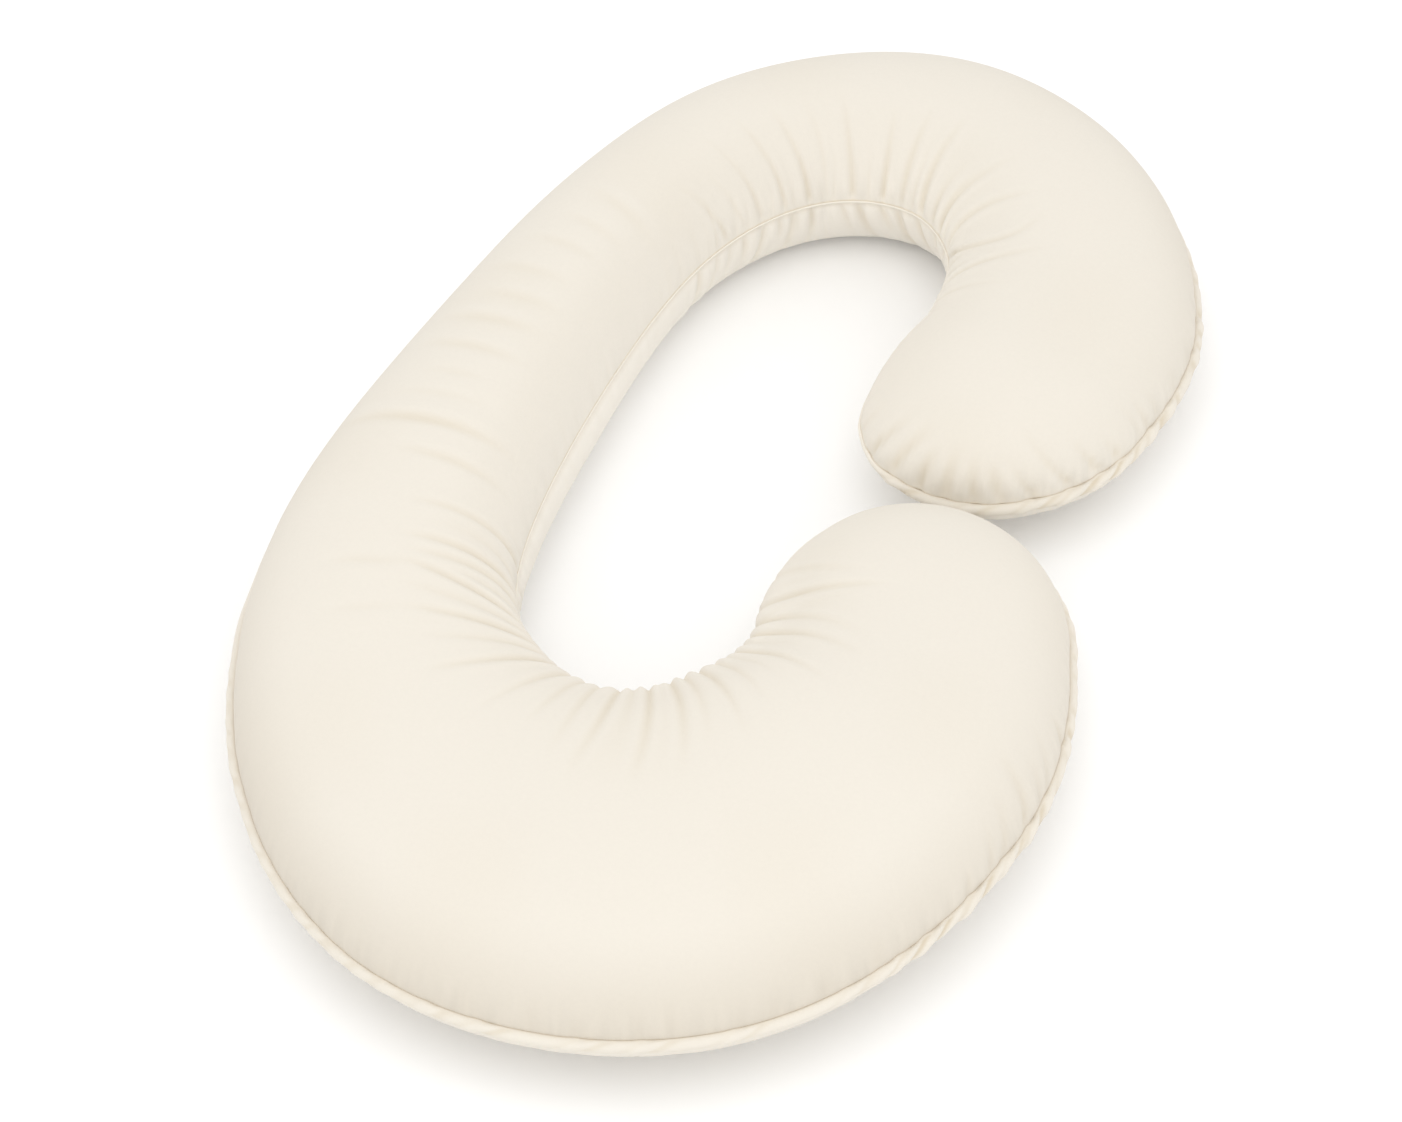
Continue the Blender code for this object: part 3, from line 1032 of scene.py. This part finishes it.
@dataclass
class Cover:
    """The filled cover: an upper and a lower panel that meet at the seam, gathered inside."""

    plan: Plan
    wave: SeamWave
    finish: CottonFinish
    stations: int = 680
    end_steps: int = 70
    inner_share: float = 0.0
    upper_rows: int = 40
    lower_rows: int = 16
    groove_rows: int = 4
    row_crowding: float = 1.35
    crown_to_seam: float = 2.0
    upper_fullness: float = 2.15
    lower_fullness_outer: float = 1.85
    lower_fullness_inner: float = 2.10
    pressed_share: float = 0.10
    belly_squareness: float = 0.8
    wave_reach: float = 0.030
    filling_reach: float = 0.050
    foot_fade_rows: int = 6
    calm_points: int = 10
    puff_start: float = 0.012
    pucker_reach: float = 0.055
    # Painted shade, darker and warmer, on the steep sides over the outer seam reaches this far.
    rim_reach: float = 0.120
    # Painted light on the slope over the inner seam reaches this far, at this share of the full.
    slope_reach: float = 0.110
    slope_share: float = 0.65
    # Shares of the seam tone as painted shade in the seat behind the roll, less on the inner side,
    # and at the foot of the lower panel.
    seat_shade: float = 0.70
    seat_shade_drop: float = 0.45
    seam_blur_inner: float = 0.45
    foot_shade: float = 0.35
    # Depth at which the painted shade of a crease is full, and its share on the lower panel.
    darkest_crease: float = 0.0034
    lower_crease_share: float = 0.8
    seed: int = 5
    fill: float = 0.85
    ring: SeamRing = field(init=False)

    def __post_init__(self) -> None:
        """Sets out the ring of sections."""
        places = self.plan.stations(self.stations, self.inner_share)
        self.ring = SeamRing(self.plan, places, places, self.end_steps)
        rails = self.plan.rails(places)
        self.ridge = 0.5 * (rails[:, 0:2] + rails[:, 2:4]) - PLAN_SHIFT
        self.ridge_height = rails[:, 4]
        there, turn = np.arange(self.stations), self.end_steps - 1
        knee, head = np.full(turn, self.stations - 1), np.zeros(turn, int)
        self.ridge_of = np.concatenate([there, knee, there[::-1], head])

    @property
    def seam_row(self) -> int:
        """Row of the seam."""
        return self.upper_rows - 1

    @property
    def foot_row(self) -> int:
        """First row of the lower panel."""
        return self.upper_rows + self.groove_rows

    def upper_panel(self) -> np.ndarray:
        """Upper panel from just off the crown to the seam: a superellipse quarter in each section.

        Across is sin(a)^(2/n) of the way from the middle to the seam, and the rise above it goes
        with cos(a)^(2/n).

        Returns:
            Rows from near the crown down to the seam.
        """
        share = np.arange(1, self.upper_rows + 1) / self.upper_rows
        turn = 0.5 * np.pi * (1.0 - (1.0 - share) ** self.row_crowding)
        across = np.sin(turn) ** (2.0 / self.upper_fullness)
        rise = np.cos(turn).clip(0.0) ** (2.0 / self.upper_fullness)
        centre = self.ridge[self.ridge_of]
        plan = centre + (self.ring.points - centre) * across[:, None, None]
        height = self.ring.height * (1.0 + (self.crown_to_seam - 1.0) * rise[:, None])
        return np.concatenate([plan, height[..., None]], axis=-1)

    def groove(self) -> np.ndarray:
        """Seat of the roll: an arc round the roll's middle, a clearance wider than the roll.

        Returns:
            Rows below the seam, down to the lower panel.
        """
        seat_plan, seat_height = self.ring.roll_centre()
        start = self.ring.seat_angle
        turn = np.linspace(start, 2.0 * np.pi - start, self.groove_rows + 1)[1:]
        radius = self.ring.roll_radius + self.ring.clearance
        out = (radius * np.cos(turn)[:, None])[..., None] * self.ring.outward
        height = seat_height + radius * np.sin(turn)[:, None]
        return np.concatenate([seat_plan + out, height[..., None]], axis=-1)

    def lower_panel(self, edge: np.ndarray) -> np.ndarray:
        """Lower panel from the seat to the edge of the part that the floor presses flat.

        It is a superellipse quarter like the upper panel, cut off where it meets the floor.

        Args:
            edge: Last row of the groove.

        Returns:
            Rows below it, the last one on the floor.
        """
        more = self.lower_fullness_inner - self.lower_fullness_outer
        inside = smooth_step(2.0 * self.ring.inner_share - 1.0)
        fullness = self.lower_fullness_outer + more * inside
        fullness = fullness - read_table(HEAD_CORNER, self.ring.length, Corner.LESS_FULL)
        flat_turn = np.arcsin((1.0 / (1.0 + self.pressed_share)) ** (fullness / 2.0))
        turn = flat_turn * (np.arange(1, self.lower_rows + 1) / self.lower_rows)[:, None]
        across = np.cos(turn) ** (2.0 / fullness)
        fall = (1.0 + self.pressed_share) * np.sin(turn) ** (2.0 / fullness)
        centre = self.ridge[self.ridge_of]
        plan = centre + (self.ring.points - centre) * across[..., None]
        swell = np.sin(np.pi * np.clip(fall, 0.0, 1.0)) ** self.belly_squareness
        bulge = swell * read_table(BELLY, self.ring.length)
        plan = plan + bulge[..., None] * self.ring.outward
        height = edge[:, 2] * (1.0 - fall)
        height[-1] = 0.0
        return np.concatenate([plan, height[..., None]], axis=-1)

    def relief(self, rows: np.ndarray) -> np.ndarray:
        """Relief over the whole grid from gathers, puckers, back wrinkles and an uneven filling.

        Args:
            rows: The plain grid.

        Returns:
            Height of the relief at each grid point.
        """
        rng = np.random.default_rng(self.seed)
        upper, lower = slice(0, self.seam_row + 1), slice(self.foot_row, None)
        upper_away = distance_from_row(rows[upper], self.seam_row)
        lower_away = distance_from_row(rows[self.foot_row - 1 :], 0)[1:]
        spacing = np.linalg.norm(np.roll(rows, -1, axis=1) - rows, axis=2)
        spread = np.clip(spacing / spacing[self.seam_row], LEAST_SPREAD, MOST_SPREAD)
        relief = np.zeros(rows.shape[:2])
        small = creases_of_runs(UPPER_GATHERS + OUTER_PUCKERS, rng)
        under = creases_of_runs(LOWER_GATHERS + OUTER_PUCKERS, rng)
        for creases in (UPPER_CREASES, small):
            relief[upper] += relief_of_creases(creases, self.ring, upper_away, spread[upper], rng)
        relief[lower] += relief_of_creases(under, self.ring, lower_away, spread[lower], rng)
        relief[upper] += relief_of_wrinkles(rows[upper, :, 0:2])
        full = smooth_step(upper_away / self.filling_reach)
        relief[upper] += uneven_filling(rows[upper, :, 0:2]) * full
        keep = np.ones(rows.shape[0])
        keep[self.seam_row + 1 : self.foot_row] = 0.0
        from_last = np.arange(rows.shape[0] - self.foot_row)[::-1]
        keep[self.foot_row :] = smooth_step(from_last / self.foot_fade_rows)
        return relief * keep[:, None]

    def puff(self, upper: np.ndarray) -> np.ndarray:
        """Outward swell of the gathered cloth over the inner seam: a bell over the distance.

        Args:
            upper: Rows of the upper panel, down to the seam.

        Returns:
            A shift for each grid point.
        """
        away = distance_from_row(upper, self.seam_row)
        amount = read_table(PUFF, self.ring.length) * bell(away, PUFF_RISE, PUFF_SPAN)
        amount = amount * smooth_step(away / self.puff_start)
        level = np.zeros((upper.shape[1], 1))
        flat = np.concatenate([self.ring.calm_outward(self.calm_points), level], axis=1)
        return amount[..., None] * flat

    def shaped(self) -> tuple[np.ndarray, np.ndarray]:
        """The grid with its puff, its relief and its wavering seam.

        Returns:
            The finished grid, and the height of its relief.
        """
        groove = self.groove()
        rows = np.concatenate([self.upper_panel(), groove, self.lower_panel(groove[-1])])
        rows[: self.upper_rows] += self.puff(rows[: self.upper_rows])
        relief = self.relief(rows)
        rows = rows + grid_normals(rows) * relief[..., None]
        out, up = self.wave.offsets(self.ring)
        near = bell(rows[..., 2] - self.ring.height, 0.0, self.wave_reach)[..., None]
        shift = np.concatenate([self.ring.outward * out[:, None], up[:, None]], axis=1)
        rows = rows + near * shift
        rows[..., 2] = np.maximum(rows[..., 2], 0.0)
        return rows, relief

    def build(self) -> bpy.types.Object:
        """Builds, dresses and places the cover.

        Returns:
            The finished piece.
        """
        rows, relief = self.shaped()
        depth, ring = rows.shape[:2]
        rise = relief_of_wrinkles(self.ridge[None])[0] + uneven_filling(self.ridge)
        crown = np.column_stack([self.ridge, self.ridge_height * self.crown_to_seam + rise])
        floor = np.column_stack([self.ridge, np.zeros(len(self.ridge))])
        points = np.concatenate([rows.reshape(-1, 3), crown, floor])
        quads = ring_quads(depth, ring, False)
        piece = mesh_object("cover", points, quads, self.closing_faces(depth, ring))
        self.store_tones(piece, rows, relief, rise)
        piece.data.materials.append(self.finish.material())
        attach(piece, "root")
        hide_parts("pillow")
        return piece

    def store_tones(
        self, piece: bpy.types.Object, rows: np.ndarray, relief: np.ndarray, rise: np.ndarray
    ) -> None:
        """Stores what the material reads, for the grid and then for the crown and floor lines.

        Args:
            piece: The piece.
            rows: The finished grid.
            relief: Height of the grid's relief.
            rise: Height of the crown line's relief.
        """
        away = distance_from_row(rows, self.seam_row)
        spare = np.zeros(len(self.ridge))
        for name, grid in self.tones(away, relief).items():
            # The crown line gets painted crease shade where its wrinkles dip; the other tones get
            # none there.
            crown = np.clip(-rise / self.darkest_crease, 0.0, 1.0) if name == "crease" else spare
            add_attribute(piece, name, np.concatenate([grid.ravel(), crown, spare]))
        add_attribute(piece, "seam_place", self.seam_place(away))

    def tones(self, away: np.ndarray, relief: np.ndarray) -> dict[str, np.ndarray]:
        """Shares from 0 to 1 of each of the cotton's tones, by the name that the material reads.

        The seam tone's share is full on the seam line, with painted shade in the seat under it and
        at the foot of the lower panel. The crease's, painted shade, is how far a point lies below
        the plain cover, over the deepest. The under share, painted light, is full on the inner
        lower panel, with some on the slope over the inner seam. The rim's, painted shade, lies over
        the outer seam. The pucker's is the strength of the fine puckers, for their bump and painted
        shade: full at the seam, none past their reach.

        Args:
            away: Distance of each grid point from the seam.
            relief: Height of the relief.

        Returns:
            One grid of shares for each name.
        """
        inner, length = self.ring.inner_share, self.ring.length
        seam_line_and_shade, under = np.zeros_like(away), np.ones_like(away)
        seam_line_and_shade[self.seam_row] = 1.0
        seam_line_and_shade[self.seam_row - 1] = self.seam_blur_inner * inner
        # Painted shade in the seat behind the roll and at the lower panel's foot.
        seam_line_and_shade[self.seam_row + 1 : self.foot_row] = self.seat_shade - self.seat_shade_drop * inner
        seam_line_and_shade[self.foot_row] = self.foot_shade * (1.0 - inner)
        # Painted shade in creases: darker the deeper a point lies below the plain cover.
        crease = np.clip(-relief / self.darkest_crease, 0.0, 1.0)
        crease[self.foot_row :] *= self.lower_crease_share
        # Painted light in the inner hollow: full on the inner lower panel, some on the slope above.
        slope = 1.0 - smooth_step(away[: self.foot_row] / self.slope_reach)
        under[: self.foot_row] = self.slope_share * slope
        # Painted shade on the steep outer sides, fading away from the outer seam.
        rim_shade = (1.0 - smooth_step(away / self.rim_reach)) * (1.0 - inner)
        rim_shade = rim_shade * read_table(RIM_SHADE, length)
        rim_shade[self.seam_row + 1 :] = 0.0
        pucker = read_table(PUCKERING, length) * (1.0 - smooth_step(away / self.pucker_reach))
        under = under * inner
        return {"seam_line_and_shade": seam_line_and_shade, "crease": crease, "under": under, "rim_shade": rim_shade, "pucker": pucker}

    def seam_place(self, away: np.ndarray) -> np.ndarray:
        """Place of each point on a cylinder as long round as the seam, for noise that follows it.

        Args:
            away: Distance of each grid point from the seam.

        Returns:
            Cosine and sine of the turn times the cylinder's radius, and distance from the seam.
        """
        radius = self.ring.total / (2.0 * np.pi)
        turn = self.ring.length / radius
        around = np.stack([radius * np.cos(turn), radius * np.sin(turn)], axis=-1)
        around = np.broadcast_to(around, (*away.shape, 2))
        place = np.concatenate([around, away[..., None]], axis=-1).reshape(-1, 3)
        return np.concatenate([place, np.zeros((2 * len(self.ridge), 3))])

    def closing_faces(self, depth: int, ring: int) -> list[tuple[int, ...]]:
        """Faces that join the first row to the crown line and the last row to the flat's middle.

        Args:
            depth: Rows of points.
            ring: Points in a row.

        Returns:
            Quads along the line and triangles round its two ends.
        """
        first_crown = depth * ring
        first_floor = first_crown + len(self.ridge)
        here = np.arange(ring)
        ahead = (here + 1) % ring
        near, far = self.ridge_of[here], self.ridge_of[ahead]
        low, low_ahead = here + (depth - 1) * ring, ahead + (depth - 1) * ring
        top = np.stack([first_crown + near, here, ahead, first_crown + far], axis=1)
        bottom = np.stack([low, first_floor + near, first_floor + far, low_ahead], axis=1)
        same = near == far
        blocks = [top[~same], bottom[~same], top[same][:, [0, 1, 2]], bottom[same][:, [0, 1, 3]]]
        return [tuple(row) for block in blocks for row in block.tolist()]


@dataclass
class SoftRoll:
    """The soft roll sewn in at the seam: a cord of cloth with slanted ridges, thin inside."""

    plan: Plan
    wave: SeamWave
    finish: CottonFinish
    spacing: float = 0.0021
    sides: int = 24
    end_steps: int = 250
    ridge_width: float = 0.0072
    hollow_place: float = 1.9
    hollow_width: float = 1.1
    hollow_ahead: float = 0.55
    hollow_behind: float = 0.25
    # Depth at which the painted shade in a hollow beside a ridge is full.
    darkest_hollow: float = 0.0014
    facing_start: float = 0.15
    facing_span: float = 0.5
    # Painted shade on the side of the roll that tucks into its seat.
    tuck_start: float = 0.25
    tuck_span: float = 0.6
    tuck_shade: float = 0.25
    # Painted light on the thin roll along the inner curve.
    inner_lightness: float = 0.8
    fill: float = 0.5

    def ring(self) -> SeamRing:
        """The closed seam in even steps, the outer and the inner rail each by its own length.

        Returns:
            The ring.
        """
        outer = self.plan.stations(int(self.plan.outer_length[-1] / self.spacing), 0.0)
        inner = self.plan.stations(int(self.plan.inner_length[-1] / self.spacing), 1.0)
        return SeamRing(self.plan, outer, inner, self.end_steps)

    def relief(self, ring: SeamRing, turn: np.ndarray) -> np.ndarray:
        """Height of the ridges across the roll: each a bell between two shallow hollows.

        Args:
            ring: The closed seam.
            turn: Angle of each row round the roll.

        Returns:
            One height for each row and each point of the ring.
        """
        relief = np.zeros((len(turn), len(ring.length)))
        for place, height, slant in self.wave.ridges:
            across = ring.distance_along(place)[None, :] - slant * turn[:, None]
            across = across / self.ridge_width
            ahead = self.hollow_ahead * bell(across, self.hollow_place, self.hollow_width)
            behind = self.hollow_behind * bell(across, -self.hollow_place, self.hollow_width)
            relief += height * (bell(across, 0.0, 1.0) - (ahead + behind))
        return relief

    def build(self) -> bpy.types.Object:
        """Builds, dresses and places the roll.

        Its surface is the seam carried round a circle whose radius holds the ridges outside.

        Returns:
            The finished piece.
        """
        ring = self.ring()
        turn = np.pi - 2.0 * np.pi * np.arange(self.sides) / self.sides
        facing = smooth_step((np.cos(turn) + self.facing_start) / self.facing_span)[:, None]
        relief = self.relief(ring, turn)
        share = ring.roll_radius / ring.roll_outer
        radius = ring.roll_radius + relief * facing * share
        middle, height = ring.roll_centre()
        out, up = self.wave.offsets(ring)
        reach = radius * np.cos(turn)[:, None] + out
        plan = middle + reach[..., None] * ring.outward
        level = height + radius * np.sin(turn)[:, None] + up
        points = np.concatenate([plan, level[..., None]], axis=-1)
        quads = ring_quads(self.sides, points.shape[1], True)
        piece = mesh_object("soft_roll", points.reshape(-1, 3), quads, [])
        # Painted shade where the roll tucks into its seat.
        tucked = smooth_step((self.tuck_start - np.cos(turn)) / self.tuck_span)[:, None]
        # Painted light on the roll where it is thin along the inner curve.
        light = self.inner_lightness * (1.0 - share) + np.zeros_like(radius)
        # Painted shade in the hollows beside the roll's ridges, on its outward side.
        add_attribute(piece, "crease", np.clip(-relief / self.darkest_hollow, 0.0, 1.0) * facing)
        add_attribute(piece, "seam_line_and_shade", self.tuck_shade * tucked * share)
        add_attribute(piece, "under", light)
        piece.data.materials.append(self.finish.material())
        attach(piece, "root")
        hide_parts("seam_welt")
        return piece


@dataclass
class Studio:
    """A pale floor, soft overhead light and the camera."""

    camera_place: tuple[float, float, float] = (1.3182, -3.5299, 4.0676)
    camera_target: tuple[float, float, float] = (-0.0077, -0.0758, 0.1000)
    focal_pixels: float = 5250.0
    camera_range: float = 200.0
    floor_half: float = 30.0
    floor_drop: float = 0.0002
    floor_colour: tuple[float, float, float] = (0.97, 0.97, 0.97)
    floor_glow: float = 0.020
    sky: float = 0.99
    lamp_watts: float = 31.0
    fill_watts: float = 19.0
    fill_size: float = 3.0
    fill_place: tuple[float, float, float] = (2.6, -4.0, 2.6)
    lamp_size: float = 3.2
    lamp_place: tuple[float, float, float] = (0.30, -1.05, 3.85)

    def build(self) -> None:
        """Makes the floor, the lights and the camera, and makes the camera the scene's own."""
        self.floor()
        self.light()
        self.camera()

    def floor(self) -> None:
        """A large plain plane just under the pillow."""
        half = self.floor_half
        plan = np.array([[-half, -half], [half, -half], [half, half], [-half, half]])
        corners = np.column_stack([plan, np.full(len(plan), -self.floor_drop)])
        floor = mesh_object("floor", corners, np.array([[0, 1, 2, 3]]), [])
        material = bpy.data.materials.new("floor_paint")
        nodes = Nodes(material)
        surface = {
            "Base Color": (*self.floor_colour, 1.0),
            "Roughness": 1.0,
            "Specular IOR Level": 0.0,
            "Emission Color": WHITE,
            "Emission Strength": self.floor_glow,
        }
        nodes.finish(nodes.add("ShaderNodeBsdfPrincipled", {}, surface))
        floor.data.materials.append(material)

    def light(self) -> None:
        """Even light from all round, and two large soft lamps, one above and one in front."""
        scene = bpy.context.scene
        scene.view_settings.view_transform = "Standard"
        scene.view_settings.look = "None"
        world = bpy.data.worlds.new("studio")
        scene.world = world
        world.use_nodes = True
        background = world.node_tree.nodes["Background"]
        background.inputs[0].default_value = WHITE
        background.inputs[1].default_value = self.sky
        self.softbox("overhead", self.lamp_place, self.lamp_size, self.lamp_watts)
        self.softbox("fill", self.fill_place, self.fill_size, self.fill_watts)

    @staticmethod
    def softbox(name: str, place: tuple[float, float, float], size: float, watts: float) -> None:
        """Adds a round area lamp that faces the pillow.

        Args:
            name: The lamp's name.
            place: Where it hangs.
            size: Its diameter.
            watts: Its power.
        """
        lamp = bpy.data.lights.new(name, "AREA")
        lamp.shape = "DISK"
        lamp.size = size
        lamp.energy = watts
        holder = bpy.data.objects.new(name, lamp)
        holder.location = place
        holder.rotation_euler = (-Vector(place)).to_track_quat("-Z", "Y").to_euler()
        bpy.context.scene.collection.objects.link(holder)

    def camera(self) -> None:
        """A long lens at the photograph's angle, level with the horizon."""
        data = bpy.data.cameras.new("camera")
        data.sensor_fit = "HORIZONTAL"
        data.sensor_width = SENSOR_WIDTH
        data.lens = self.focal_pixels / IMAGE_WIDTH * SENSOR_WIDTH
        data.clip_end = self.camera_range
        camera = bpy.data.objects.new("camera", data)
        camera.location = self.camera_place
        aim = Vector(self.camera_target) - Vector(self.camera_place)
        camera.rotation_euler = aim.to_track_quat("-Z", "Y").to_euler()
        bpy.context.scene.collection.objects.link(camera)
        bpy.context.scene.camera = camera


COVER_FINISH = CottonFinish("cream_cotton", (0.765, 0.718, 0.636))
ROLL_FINISH = CottonFinish(
    "roll_cotton",
    (0.768, 0.718, 0.632),
    # Stronger painted shade in the roll's hollows.
    crease_shade_tone=(0.86, 0.81, 0.72),
    slub_height=0.00007,
    weave_height=0.00002,
)


def main() -> None:
    """Builds the studio, the cover and the roll in order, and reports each."""
    logging.basicConfig(level=logging.INFO)
    Studio().build()
    plan, wave = Plan(), SeamWave()
    for part in (Cover(plan, wave, COVER_FINISH), SoftRoll(plan, wave, ROLL_FINISH)):
        piece = part.build()
        mesh = piece.data
        LOG.info("%s: %d points, %d faces", piece.name, len(mesh.vertices), len(mesh.polygons))


if __name__ == "__main__":
    main()
